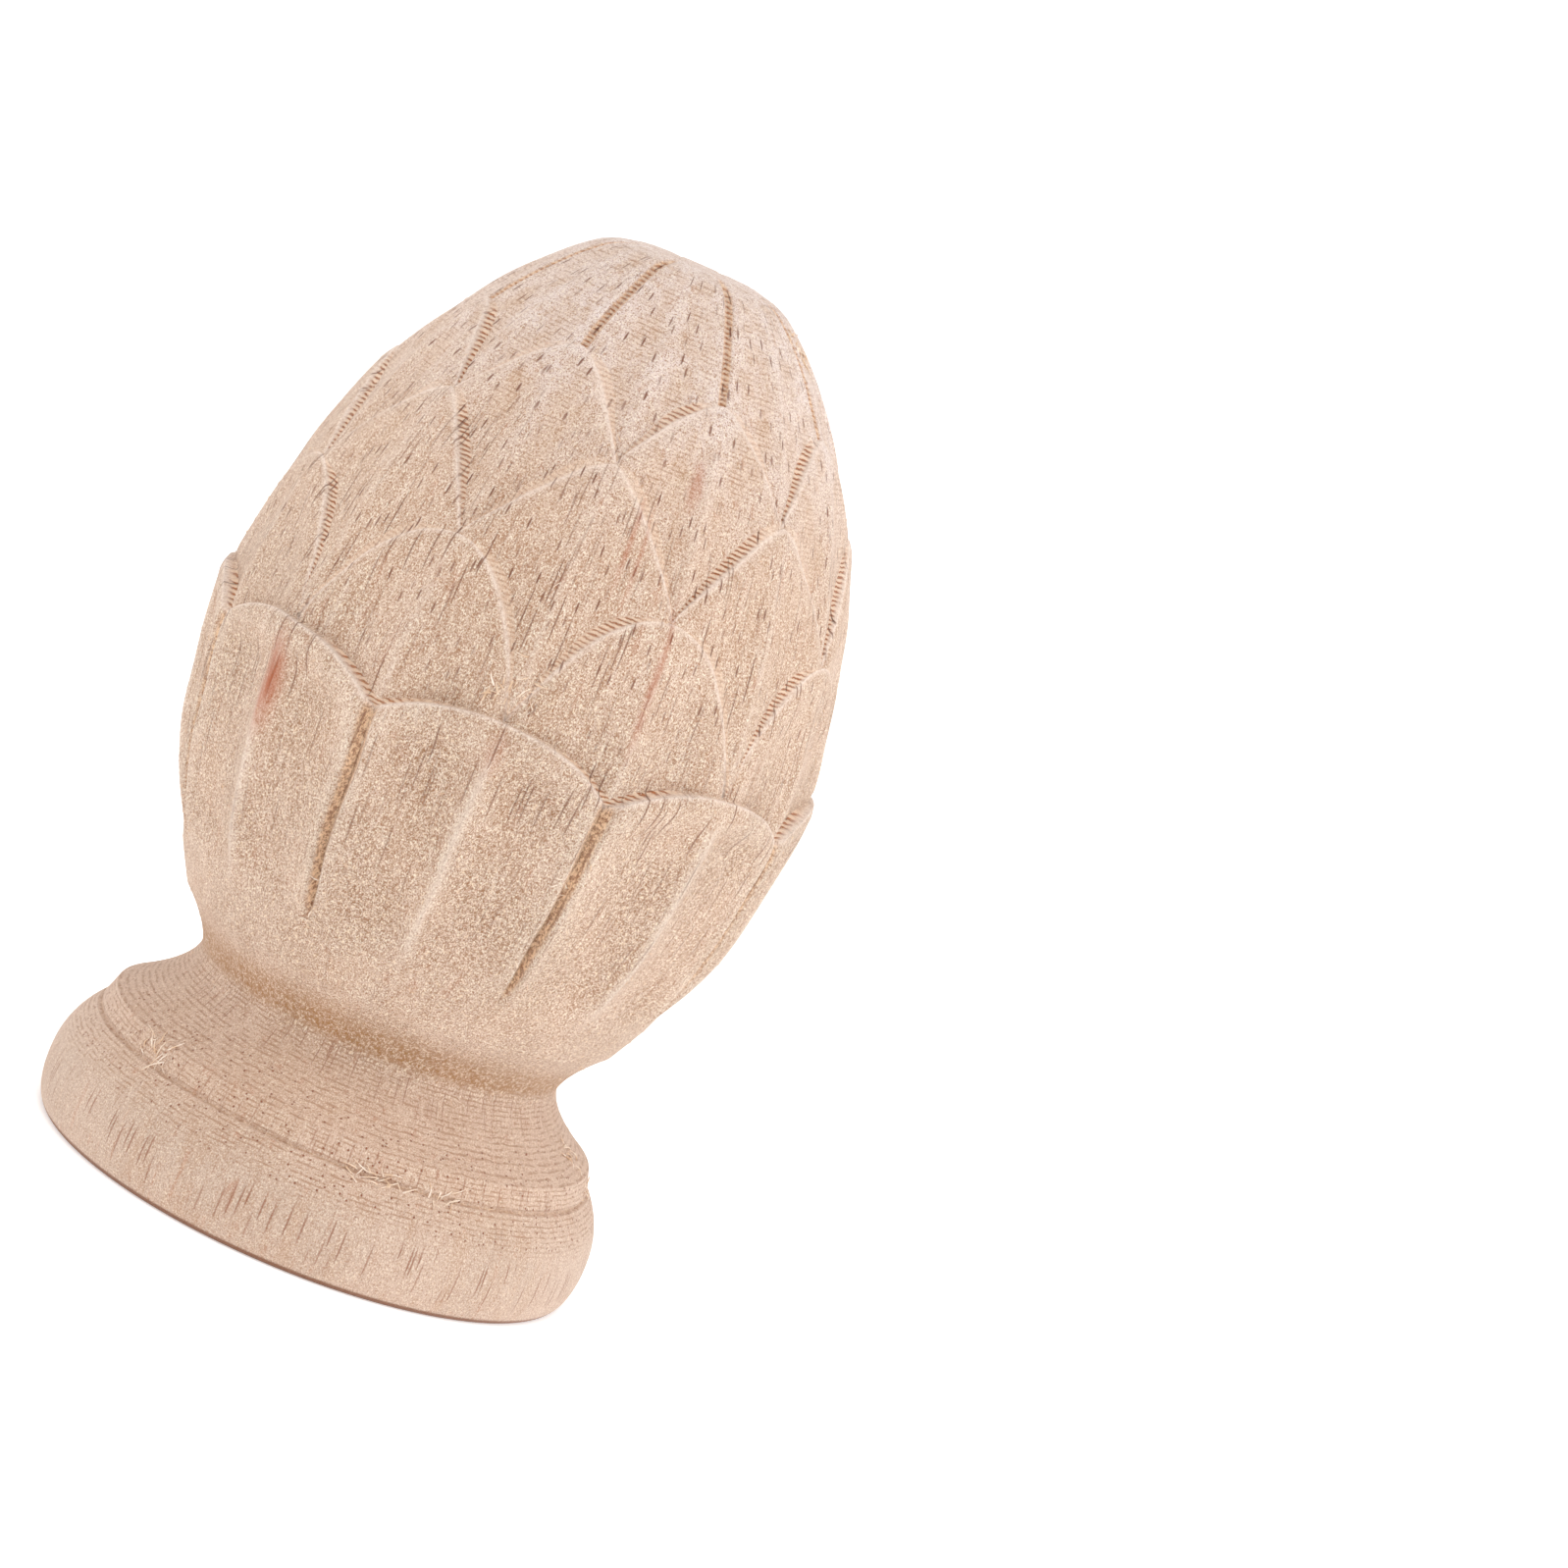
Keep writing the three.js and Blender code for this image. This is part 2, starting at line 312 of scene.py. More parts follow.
def wall_foot(ring, share):
    """Height where the wall under a lip ends: wider where the arch is steep."""
    lip, lean = arch_level(ring, share), arch_lean(ring, share)
    taper = 1.0 if ring == 0 else smooth_step((1 - off_centre(ring, share)) / WALL_TAPER)
    width = mix(WALL_LEAST, WALL_MOST, smooth_step((lean - 1) / WALL_STEEP) * taper)
    limit = arch_level(ring + 1, share) if ring + 1 < CROWN else HEIGHT
    return lip + np.minimum(width * lean, (limit - lip) / 2)


def wave_noise(angles, levels, waves, seed):
    """Smooth noise round the wood: a few seeded waves, each whole round the circle."""
    rng = np.random.default_rng(seed)
    total = np.zeros(np.broadcast(angles, levels).shape)
    for _ in range(waves):
        turns = rng.integers(*WAVE_TURNS)
        climb = rng.uniform(-WAVE_CLIMB, WAVE_CLIMB)
        total += np.sin(turns * angles + climb * levels + rng.uniform(0, 2 * math.pi))
    return total / math.sqrt(waves)


class SurfaceRows:
    """Rows of the surface from the underside up: heights, depths and marks of every column."""

    MARKS = ("wall", "teeth", "lip", "groove", "hollow", "rib")

    def __init__(self, angles, share, rising):
        self.angles, self.share, self.rising = angles, share, rising
        self.levels, self.depths = [], []
        self.marks = {name: [] for name in self.MARKS}

    def add(self, level, depth, **marks):
        self.levels.append(np.broadcast_to(level, self.share.shape))
        self.depths.append(np.broadcast_to(depth, self.share.shape))
        for name in self.MARKS:
            self.marks[name].append(np.broadcast_to(marks.get(name, 0.0), self.share.shape))

    def count(self):
        return len(self.levels)


def tool_ring(z):
    """Depth of the cutter's rings: sharp ridges between round troughs."""
    return TOOL_DEPTH * np.abs(np.cos(math.pi * z / TOOL_PITCH))


def add_turned_rows(rows):
    """The foot's rows, four to each of the cutter's rings."""
    step = TOOL_PITCH / ROWS_PER_PITCH
    for z in EDGE_LEVELS:
        rows.add(z, 0.0)
    for z in np.arange(step, CREASE_HEIGHT - CREASE_HALF_WIDTH, step):
        rows.add(z, tool_ring(z) * smooth_step((z - ROLL_MIDDLE) / ROLL_RINGS_FADE))
    for share in np.linspace(-1, 1, CREASE_ROWS):
        z = CREASE_HEIGHT + share * CREASE_HALF_WIDTH
        inward = 1 - abs(share)
        rows.add(z, CREASE_DEPTH * inward ** CREASE_CURVE, groove=CREASE_MARK * inward)
    for z in np.arange(CREASE_HEIGHT + CREASE_HALF_WIDTH + step, BAND_TOP, step):
        rows.add(z, 0.0)
    seam = rows.count()
    for z in np.arange(BAND_TOP, SHOULDER_HEIGHT, step):
        rows.add(z, tool_ring(z) * smooth_step((z - BAND_TOP) / COVE_RINGS_FADE))
    return seam


def face_marks(ring, share, z):
    """Marks of a row of faces: its hollows and midribs, its grooves and the line of its lip; painted shade
    goes in the hollows, and painted highlights on the midrib crests and the lip line.
    """
    off = off_centre(ring, share)
    # Midrib crest line: paler wood with less fuzz, and a painted highlight
    marks = {"rib": np.exp(-(off / RIB_HIGHLIGHT_SHARE) ** 2) * margin_fade(ring, share, z)}
    if ring == 0:
        marks["rib"] = marks["rib"] * flute_rise(z)
        marks["groove"] = lowest_groove(share, z)
        marks["hollow"] = lowest_hollow(share, z)
    else:
        marks["rib"] = marks["rib"] * UPPER_RIB_HIGHLIGHT_MARK
        marks["hollow"] = hollow_shape(off) * UPPER_HOLLOW_MARK
    if ring < CROWN:
        # The lip line: a painted highlight along the arch's edge
        marks["lip"] = np.clip(1 - from_arch(ring, share, z) / LIP_HIGHLIGHT_LINE, 0, 1)
    else:
        marks["groove"] = groove_shape(share, z, CROWN_GROOVE_HALF_WIDTH)
        marks["teeth"] = marks["groove"]
    return marks


def add_face_rows(rows, ring, start):
    """A ring of faces up to its arches, with closer rows over the rounded lip."""
    share = rows.share
    arch = arch_level(ring, share) if ring < CROWN else np.full(share.shape, egg_level(CROWN_EDGE))
    lip_start = arch
    if ring < CROWN:
        lip_start = np.maximum(mix(start, arch, 0.5), arch - LIP_REACH * arch_lean(ring, share))
    levels = [mix(start, lip_start, step) for step in np.linspace(0, 1, FACE_ROWS[ring])]
    if ring < CROWN:
        over_lip = [math.sin(math.pi / 2 * i / LIP_ROWS) for i in range(1, LIP_ROWS + 1)]
        levels += [mix(lip_start, arch, step) for step in over_lip]
    for z in levels:
        rows.add(z, scale_depth(ring, share, z), **face_marks(ring, share, z))
    return arch


def teeth_and_shade_strength(rows, ring):
    """How toothed and brown a wall is: the cutter's tooth marks, with painted shade on the walls that lean
    one way on each side, turned away from the softbox on that side.
    """
    across = np.sin(rows.angles)
    leftward_shade, rightward_shade = rise_from(across, *LEFTWARD_WALL_SHADE), rise_from(-across, *RIGHTWARD_WALL_SHADE)
    rightward_wall = rows.rising == (ring % 2 == 0)
    return mix(LEAST_TEETH, 1.0, np.where(rightward_wall, rightward_shade, leftward_shade))


def add_wall_rows(rows, ring):
    """The wall from a lip down to the face behind it, toothed where the arch is steep, with painted shade on
    walls turned away from the softbox on their side.
    """
    share = rows.share
    lip, foot = arch_level(ring, share), wall_foot(ring, share)
    lip_depth, foot_depth = scale_depth(ring, share, lip), scale_depth(ring + 1, share, foot)
    steep = rise_from(off_centre(ring, share), *(LOWEST_WALL_CUT if ring == 0 else UPPER_WALL_CUT))
    # Tooth marks where the arch is steep, with painted shade on walls turned away from their softbox; the
    # wall mark below follows it
    teeth = steep * teeth_and_shade_strength(rows, ring)
    torn = 0.0
    if ring == 0:
        teeth = np.maximum(teeth, JUNCTION_TEETH * rise_from(share, *JUNCTION_CUT))
        torn = TORN_WALL_MARK * steep
    wall = mix(LEAST_WALL_MARK, 1.0, teeth)
    for i in range(1, WALL_ROWS):
        step = i / WALL_ROWS
        scoop = math.sqrt(1 - (1 - step) ** 2)
        # The painted highlight of the lip runs a short way down the wall
        rows.add(mix(lip, foot, step), mix(lip_depth, foot_depth, scoop), wall=wall, teeth=teeth,
                 groove=torn * (1 - abs(2 * step - 1)), lip=max(0.0, 1 - WALL_LIP_HIGHLIGHT_RUN * step))
    return foot


def surface_rows(angles, share, rising):
    """All rows, and the row numbers where the wood is split into meshes."""
    rows = SurfaceRows(angles, share, rising)
    seams = [add_turned_rows(rows), rows.count()]
    start = np.full(share.shape, SHOULDER_HEIGHT)
    for ring in range(CROWN):
        add_face_rows(rows, ring, start)
        start = add_wall_rows(rows, ring)
        if ring == 1:
            seams.append(rows.count())
    edge = add_face_rows(rows, CROWN, start)
    for step in TIP_STEPS:
        z = mix(edge, HEIGHT, step)
        groove = groove_shape(share, z, CROWN_GROOVE_HALF_WIDTH) * (1 - TIP_GROOVE_LOSS * step)
        rows.add(z, CROWN_GROOVE_DEPTH * groove, groove=groove, teeth=groove)
    return rows, seams


def surface_points(levels, depths, angles):
    """Points set in from the outline along its normal, in metres."""
    from_shoulder, from_tip = (levels - SHOULDER_HEIGHT) / WAVE_FADE, (HEIGHT - levels) / WAVE_FADE
    carved = smooth_step(from_shoulder) * smooth_step(from_tip)
    levels = levels + WAVE_RISE * carved * wave_noise(angles, levels, *RISE_WAVES)
    depths = depths + carved * (WAVE_DEPTH_BASE + WAVE_DEPTH * wave_noise(angles, levels, *DEPTH_WAVES))
    angles = angles + WAVE_TURN * carved * wave_noise(angles, levels, *TURN_WAVES)
    step = 0.05
    below, above = np.clip(levels - step, 0, HEIGHT), np.clip(levels + step, 0, HEIGHT)
    across, along = above - below, outline_radius(below) - outline_radius(above)
    length = np.hypot(across, along)
    radius = outline_radius(levels) - depths * across / length
    z = levels - depths * along / length
    return np.stack([radius * np.sin(angles), -radius * np.cos(angles), z], -1) * MM


def wood_columns():
    """Angle of every column, its share of the half scale, and whether that rises with the angle."""
    step = np.arange(COLUMNS_PER_HALF) / COLUMNS_PER_HALF
    step = step - COLUMN_CROWDING * np.sin(2 * math.pi * step) / (2 * math.pi)
    half = np.arange(2 * SCALES_PER_RING).repeat(COLUMNS_PER_HALF)
    step = np.tile(step, 2 * SCALES_PER_RING)
    rising = half % 2 == 0
    return (half + step) * HALF_SCALE, np.where(rising, step, 1 - step), rising


def grid_faces(rows, count):
    index = np.arange(rows * count).reshape(rows, count)
    across = np.roll(index, -1, axis=1)
    return np.stack([index[:-1], across[:-1], across[1:], index[1:]], -1).reshape(-1, 4)


def wood_mesh(name, points, marks, closed_below=False, closed_above=False):
    rows, count = points.shape[:2]
    verts = points.reshape(-1, 3).tolist()
    faces = grid_faces(rows, count).tolist()
    if closed_below:
        faces.append(list(range(count))[::-1])
    if closed_above:
        last = (rows - 1) * count
        verts.append((0.0, 0.0, HEIGHT * MM))
        faces += [[last + i, last + (i + 1) % count, rows * count] for i in range(count)]
    mesh = bpy.data.meshes.new(name)
    mesh.from_pydata(verts, [], faces)
    for mark, values in marks.items():
        layer = mesh.attributes.new(mark, "FLOAT", "POINT")
        values = np.append(values.reshape(-1), [0.0] * (len(verts) - rows * count))
        layer.data.foreach_set("value", values)
    mesh.polygons.foreach_set("use_smooth", [True] * len(mesh.polygons))
    mesh.update()
    return mesh


def make_wood(rows, seams, points, material):
    """The finial as four meshes that meet along its seams: roll, cove, lower and upper egg."""
    marks = {name: np.array(values) for name, values in rows.marks.items()}
    names = ("foot_roll", "foot_cove", "lower_scales", "upper_scales")
    starts = [0] + seams
    ends = [seam + 1 for seam in seams] + [rows.count()]
    pieces = []
    for name, first, last in zip(names, starts, ends):
        part = {mark: values[first:last] for mark, values in marks.items()}
        mesh = wood_mesh(name, points[first:last], part, name == names[0], name == names[-1])
        mesh.materials.append(material)
        pieces.append(bpy.data.objects.new(name, mesh))
        bpy.context.scene.collection.objects.link(pieces[-1])
    return pieces


# Places with torn fibres: angle in degrees, height, spread in degrees and in height, count, length
TUFTS = (
    (-43.0, 12.6, 2.5, 0.8, 9, 2.2),
    (-47.0, 13.2, 2.0, 0.4, 6, 1.5),
    (11.0, 11.8, 4.0, 0.3, 18, 1.8),
    (27.0, 11.9, 5.0, 0.3, 14, 1.6),
    (-3.5, 61.7, 2.0, 1.0, 14, 1.3),
    (0.5, 64.0, 1.6, 1.6, 10, 1.2),
    (82.0, 15.6, 2.0, 0.9, 10, 1.8),
    (84.0, 12.6, 2.0, 0.5, 8, 1.2),
    (73.0, 101.6, 7.0, 0.7, 26, 1.3),
    (22.0, 45.0, 1.2, 3.0, 12, 1.0),
    (-22.0, 33.0, 1.6, 2.4, 12, 1.0),
)
FUZZ_COUNT = 2600
TUFT_WIDTH = 0.11
FUZZ_WIDTH = 0.05
FUZZ_LENGTH = (0.3, 0.75)
FUZZ_MIDDLE = 38.0
FIBRE_STEPS = 5
FIBRE_SIDES = 4
FIBRE_SEED = 11
FIBRE_ROOT = 0.04
FIBRE_LIFT = (0.1, 0.3)
FIBRE_ARC = (0.5, 1.0)
FIBRE_CURL = 0.35
FIBRE_TAPER = 0.75
WIDTH_SPREAD = (0.7, 1.2)
LENGTH_SPREAD = (0.5, 1.2)
BARE_TIP = 4
SLOPE_STEP = 0.2


def fibre_rings(root, outward, along, length, width, rng):
    """Rings of points round one curled fibre that lifts off the wood and comes to a fine end."""
    side = np.cross(along, outward)
    t = np.linspace(0, 1, FIBRE_STEPS)[:, None]
    lift = length * rng.uniform(*FIBRE_LIFT) * np.sin(math.pi * t * rng.uniform(*FIBRE_ARC))
    curl = length * rng.uniform(-FIBRE_CURL, FIBRE_CURL) * t * t
    centre = root - FIBRE_ROOT * outward + along * length * t + outward * lift + side * curl
    turn = 2 * math.pi * np.arange(FIBRE_SIDES) / FIBRE_SIDES
    across = outward * np.cos(turn)[:, None] + side * np.sin(turn)[:, None]
    reach = width * rng.uniform(*WIDTH_SPREAD) * (1 - FIBRE_TAPER * t[:, 0])
    return centre[:, None, :] + reach[:, None, None] * across[None, :, :]


def fibre_roots(angles, levels, rng):
    """Row, column, length and half width of every fibre: the tufts, then fuzz on rougher wood."""
    roots = []
    for degrees, level, turn_spread, rise_spread, count, length in TUFTS:
        for _ in range(count):
            turn = math.radians(degrees + rng.normal(0, turn_spread)) % (2 * math.pi)
            column = int(np.argmin(abs(angles - turn)))
            row = int(np.argmin(abs(levels[:, column] - level - rng.normal(0, rise_spread))))
            roots.append((row, column, length * rng.uniform(*LENGTH_SPREAD), TUFT_WIDTH))
    while len(roots) < FUZZ_COUNT:
        level = rng.triangular(BAND_TOP, FUZZ_MIDDLE, HEIGHT - BARE_TIP)
        column = int(rng.integers(len(angles)))
        row = int(np.argmin(abs(levels[:, column] - level)))
        roots.append((row, column, rng.uniform(*FUZZ_LENGTH), FUZZ_WIDTH))
    return roots


def make_fibres(angles, rows, points, material):
    """Torn fibres that stand off the wood, each a small closed tube."""
    rng = np.random.default_rng(FIBRE_SEED)
    levels = np.array(rows.levels)
    verts, faces = [], []
    loop = np.arange(FIBRE_SIDES)
    for row, column, length, width in fibre_roots(angles, levels, rng):
        level, turn = levels[row, column], angles[column]
        drop = outline_radius(level - SLOPE_STEP) - outline_radius(level + SLOPE_STEP)
        slope = float(drop) / (2 * SLOPE_STEP)
        outward = np.array([math.sin(turn), -math.cos(turn), slope]) / math.hypot(1, slope)
        level_side = np.array([math.cos(turn), math.sin(turn), 0.0])
        heading = rng.uniform(0, 2 * math.pi)
        along = math.cos(heading) * level_side + math.sin(heading) * np.cross(outward, level_side)
        rings = fibre_rings(points[row, column] / MM, outward, along, length, width, rng) * MM
        first = len(verts)
        verts += rings.reshape(-1, 3).tolist()
        side_faces = grid_faces(FIBRE_STEPS, FIBRE_SIDES) + first
        faces += side_faces.tolist()
        faces.append((first + loop[::-1]).tolist())
        faces.append((first + (FIBRE_STEPS - 1) * FIBRE_SIDES + loop).tolist())
    mesh = bpy.data.meshes.new("torn_fibres")
    mesh.from_pydata(verts, [], faces)
    mesh.materials.append(material)
    mesh.polygons.foreach_set("use_smooth", [True] * len(mesh.polygons))
    fibres = bpy.data.objects.new("torn_fibres", mesh)
    bpy.context.scene.collection.objects.link(fibres)
    return fibres


def srgb(red, green, blue):
    """A colour given as it looks on screen, 0 to 255, turned into linear light."""
    share = np.array([red, green, blue]) / 255
    linear = np.where(share <= 0.04045, share / 12.92, ((share + 0.055) / 1.055) ** 2.4)
    return (*linear.tolist(), 1.0)


class Nodes:
    """Short ways to add and join material nodes."""

    def __init__(self, material):
        material.use_nodes = True
        self.tree = material.node_tree
        self.shader = self.tree.nodes["Principled BSDF"]

    def feed(self, socket, value):
        if isinstance(value, bpy.types.NodeSocket):
            self.tree.links.new(value, socket)
        else:
            socket.default_value = value

    def add(self, kind, values=(), **settings):
        node = self.tree.nodes.new(kind)
        for name, value in settings.items():
            setattr(node, name, value)
        for socket, value in values:
            self.feed(node.inputs[socket], value)
        return node

    def calc(self, operation, first, second=0.0):
        return self.add("ShaderNodeMath", [(0, first), (1, second)], operation=operation).outputs[0]

    def product(self, *values):
        result = values[0]
        for value in values[1:]:
            result = self.calc("MULTIPLY", result, value)
        return result

    def stretch(self, vector, scale):
        return self.add("ShaderNodeVectorMath", [(0, vector), (1, scale)], operation="MULTIPLY").outputs[0]

    def ramp(self, value, low, high, start=0.0, end=1.0):
        """start where the value is low, end where it is high, smooth between."""
        values = [("Value", value), ("From Min", low), ("From Max", high), ("To Min", start), ("To Max", end)]
        return self.add("ShaderNodeMapRange", values, interpolation_type="SMOOTHSTEP").outputs[0]

    def zone(self, level, coming, going):
        """1 where a layer has come in and hasn't begun to go out."""
        return self.product(self.ramp(level, *coming), self.ramp(level, *going))

    def noise(self, vector, scale, detail=2.0, roughness=0.5):
        values = [("Vector", self.stretch(vector, scale)), ("Scale", 1.0), ("Detail", detail),
                  ("Roughness", roughness)]
        return self.add("ShaderNodeTexNoise", values).outputs[0]

    def cells(self, vector, scale, dimensions="3D"):
        values = [("Vector", self.stretch(vector, scale)), ("Scale", 1.0)]
        node = self.add("ShaderNodeTexVoronoi", values, voronoi_dimensions=dimensions)
        return node.outputs["Distance"], node.outputs["Color"]

    def millimetres(self):
        return self.stretch(self.add("ShaderNodeTexCoord").outputs["Object"], (1 / MM, 1 / MM, 1 / MM))

    def tint(self, factor, first, second):
        """The first colour, turned into the second by the factor."""
        values = [(0, factor), (6, first), (7, second)]
        return self.add("ShaderNodeMix", values, data_type="RGBA").outputs[2]

    def mark(self, name):
        return self.add("ShaderNodeAttribute", attribute_name=name).outputs["Fac"]

    def bump(self, height, distance, normal=None):
        values = [("Height", height), ("Distance", distance), ("Strength", 1.0)]
        if normal is not None:
            values.append(("Normal", normal))
        return self.add("ShaderNodeBump", values).outputs[0]


# Colours of the wood from the foot up, and of what lies in it
LOWER_WOOD = srgb(210, 179, 157)
# Paler top: partly the wood's tone, partly painted light from above
TOP_WOOD_AND_LIGHT = srgb(247, 234, 233)
FOOT_WOOD = srgb(201, 178, 162)
CLOUD = srgb(221, 193, 175)
STREAK = srgb(199, 164, 139)
RED_STREAK = srgb(190, 138, 112)
DARK_STRIPE = srgb(182, 142, 115)
LIGHT_STRIPE = srgb(234, 212, 196)
COARSE_PIT = srgb(158, 110, 70)
COARSE_TIP = srgb(250, 227, 198)
FINE_PIT = srgb(166, 118, 82)
FINE_TIP = srgb(255, 242, 222)
# Raised margins beside the hollows: smoother wood, and painted light
SMOOTH_LIT_MARGIN = srgb(236, 216, 198)
NECK_TAN = srgb(172, 124, 78)
# Midrib crests: paler wood with less fuzz, and a painted highlight
RIB_PALE_AND_HIGHLIGHT = srgb(242, 224, 210)
CROWN_TAN = srgb(214, 178, 146)
RING_BROWN = srgb(172, 131, 103)
PORE = srgb(132, 82, 60)
LONG_VESSEL = srgb(138, 92, 68)
STROKE = srgb(152, 92, 62)
FLECK_RED = srgb(182, 100, 64)
EDGE_BROWN = srgb(128, 78, 48)

# Colours where the cutter crossed the grain
WALL_CREAM = srgb(250, 218, 190)
WALL_BROWN = srgb(166, 94, 50)
ROUGH_BROWN = srgb(152, 94, 52)
ROUGH_CREAM = srgb(248, 214, 178)
GROOVE_CREAM = srgb(248, 216, 188)
GROOVE_BROWN = srgb(184, 114, 68)
# Painted highlight along the lips of the scales
LIP_HIGHLIGHT_CREAM = srgb(248, 228, 214)
SHEEN_WHITE = srgb(255, 248, 242)

# Colours of the torn fibres and of the studio floor
FIBRE_TAN = srgb(232, 198, 164)
FIBRE_CREAM = srgb(255, 240, 224)
FLOOR_DULL = srgb(248, 248, 248)
FLOOR_BRIGHT = srgb(252, 252, 252)

# Heights of the bumps
GRAIN_BUMP = 0.2
RING_BUMP = 0.018
VESSEL_BUMP = 0.08

# Radius at which the skin is laid flat for marks that run along the grain, and its stretch on the top
SKIN_RADIUS = 29.0
CROWN_SKIN_RADIUS = 15.0
CROWN_SKIN_STRETCH = 1.3

# Opened vessels: width, length, room between two across the grain, and share of places filled
PORES = (0.20, 1.25, 0.90, 0.90)
CROWN_PORES = (0.18, 1.30, 0.76, 0.85)
LONG_VESSELS = (0.17, 5.00, 0.50, 0.60)
STROKES = (0.20, 3.90, 0.56, 0.75)

# Heights over which each layer of the wood comes in, and for some over which it goes out again
TOP_WOOD_AND_LIGHT_IN = (74.0, 104.0)
FOOT_WOOD_IN = (13.0, 6.0)
STRIPES_IN = (18.0, 40.0)
COARSE_IN = (19.5, 21.5)
COARSE_OUT = (76.0, 54.0)
MOTTLE_IN = (18.5, 22.5)
FLUTED_ZONE = ((31.0, 38.0), (60.0, 52.0))
NECK_ZONE = ((20.6, 22.0), (26.4, 22.8))
CROWN_IN = (70.0, 90.0)
FOOT_RINGS = ((7.0, 9.5), (23.0, 20.5))
PORES_IN = (50.0, 72.0)
PORES_OUT = (88.0, 86.0)
CROWN_PORES_ZONE = ((86.0, 88.0), (104.6, 104.0))
LONG_VESSELS_IN = (34.0, 52.0)
LONG_VESSELS_OUT = (90.0, 80.0)
ROLL_STROKES = ((1.2, 2.6), (8.0, 5.6))
BAND_STROKES = ((11.6, 12.0), (14.4, 13.6))
NECK_STROKES = ((17.0, 18.5), (22.5, 20.0))
COVE_DOTS = ((7.0, 9.0), (18.5, 16.0))
EDGE_IN = (0.75, 0.45)

# Red-brown flecks in the wood: angle in degrees, height, half width, half height and strength
FLECKS = (
    (-44.8, 52.6, 1.4, 5.4, 1.0),
    (22.3, 68.0, 0.45, 8.0, 0.6),
    (9.0, 79.5, 0.35, 5.0, 0.5),
    (11.8, 78.0, 0.30, 6.0, 0.4),
    (19.5, 86.5, 0.90, 2.6, 0.5),
    (0.5, 56.0, 1.10, 2.6, 0.3),
)


def vessel_marks(nodes, skin, width, length, cell, fill):
    """Dark dashes of that width and length where the cutter opened the wood's vessels."""
    scale = (1 / cell, width / length / cell, 1.0)
    distance, colour = nodes.cells(skin, scale, "2D")
    split = nodes.add("ShaderNodeSeparateColor", [(0, colour)])
    chosen = nodes.calc("LESS_THAN", split.outputs[0], fill)
    reach = width / 2 / cell
    dash = nodes.ramp(distance, reach * 0.6, reach * 1.25, 1.0, 0.0)
    return nodes.product(dash, chosen, nodes.ramp(split.outputs[1], 0.0, 1.0, 0.35, 1.0))


def fleck_marks(nodes, skin):
    """The few red-brown flecks, each a soft patch long along the grain."""
    total = 0.0
    for degrees, level, half_width, half_height, strength in FLECKS:
        centre = (SKIN_RADIUS * math.radians(degrees), level, 0.0)
        offset = nodes.add("ShaderNodeVectorMath", [(0, skin), (1, centre)], operation="SUBTRACT")
        scaled = nodes.stretch(offset.outputs[0], (1 / half_width, 1 / half_height, 1.0))
        reach = nodes.add("ShaderNodeVectorMath", [(0, scaled)], operation="LENGTH").outputs["Value"]
        total = nodes.calc("ADD", total, nodes.ramp(reach, 0.1, 1.4, strength, 0.0))
    return total


class Grain:
    """The noises and places that the wood's layers share, made once."""

    def __init__(self, nodes):
        self.place = nodes.millimetres()
        split = nodes.add("ShaderNodeSeparateXYZ", [(0, self.place)])
        self.level = split.outputs[2]
        turn = nodes.calc("ARCTAN2", split.outputs[0], nodes.product(split.outputs[1], -1.0))
        self.body_skin = self.unrolled(nodes, turn, SKIN_RADIUS, 1.0)
        self.crown_skin = self.unrolled(nodes, turn, CROWN_SKIN_RADIUS, CROWN_SKIN_STRETCH)
        self.fuzz = nodes.noise(self.place, (3.0, 3.0, 2.4), 3, 0.8)
        self.fine = nodes.noise(self.place, (7.0, 7.0, 5.0), 2, 0.7)
        self.stripes = nodes.noise(self.place, (2.0, 2.0, 0.06), 3, 0.65)
        wander = nodes.product(nodes.noise(self.place, (0.5, 0.5, 0.5), 2), 0.4)
        phase = nodes.product(nodes.calc("ADD", self.level, wander), 2 * math.pi / TOOL_PITCH)
        self.ring = nodes.calc("COSINE", phase)
        self.ring_line = nodes.ramp(self.ring, 0.0, 1.0)
        uneven = nodes.calc("SUBTRACT", nodes.noise(self.place, (1.8, 1.8, 1.2), 2), 0.5)
        ragged = nodes.calc("ADD", phase, nodes.product(uneven, 4.5))
        self.tooth = nodes.ramp(nodes.calc("COSINE", ragged), 0.0, 0.75)
        self.crown_zone = nodes.ramp(self.level, *CROWN_IN)
        self.foot_zone = nodes.zone(self.level, *FOOT_RINGS)

    def unrolled(self, nodes, turn, radius, climb):
        """The surface laid flat, as if it were a cylinder of this radius."""
        across, along = nodes.product(turn, radius), nodes.product(self.level, climb)
        return nodes.add("ShaderNodeCombineXYZ", [(0, across), (1, along)]).outputs[0]


